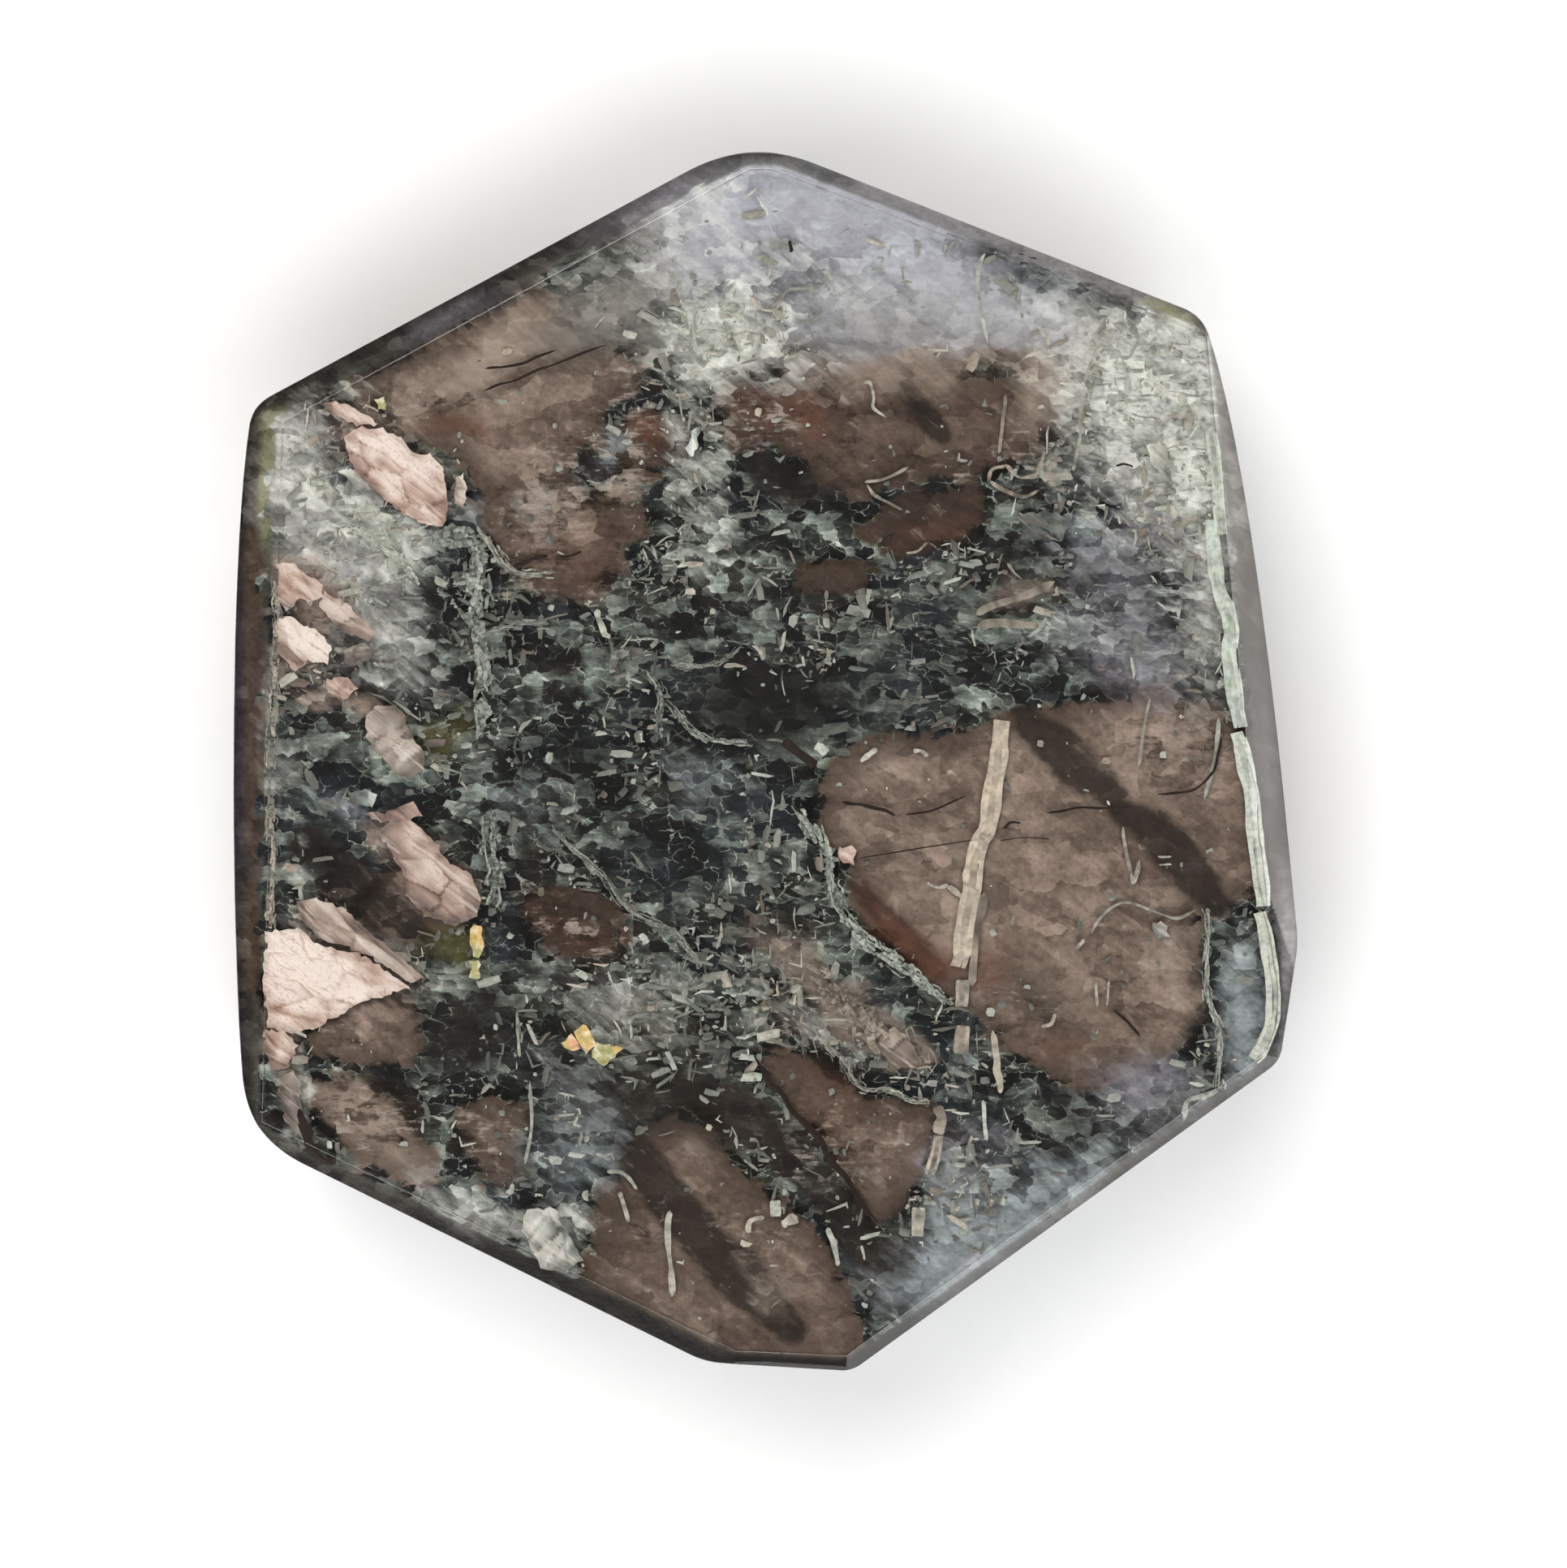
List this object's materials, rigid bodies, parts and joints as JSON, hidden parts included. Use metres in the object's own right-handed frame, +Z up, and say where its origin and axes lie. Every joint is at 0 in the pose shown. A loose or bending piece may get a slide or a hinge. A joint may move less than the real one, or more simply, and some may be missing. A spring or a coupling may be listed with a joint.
{
  "type": "trapiche sapphire",
  "caption": "Polished hexagonal tablet of trapiche sapphire with a flat table, bevelled edges and a flat base, lying table up.",
  "frame": {"origin": "middle of the stone's bounding box on the flat base that it lies on", "axes": "+Z up through the table, +Y towards the hexagon's top corner, +X towards the bulging right side"},
  "size_m": [0.0108, 0.0122, 0.0033],
  "materials": {
    "polished_sapphire": "polished, translucent at the edges, with brown growth sectors in a dark grey-green matrix"
  },
  "bodies": {
    "root": {"trapiche_sapphire": "polished_sapphire"}
  },
  "joints": []
}
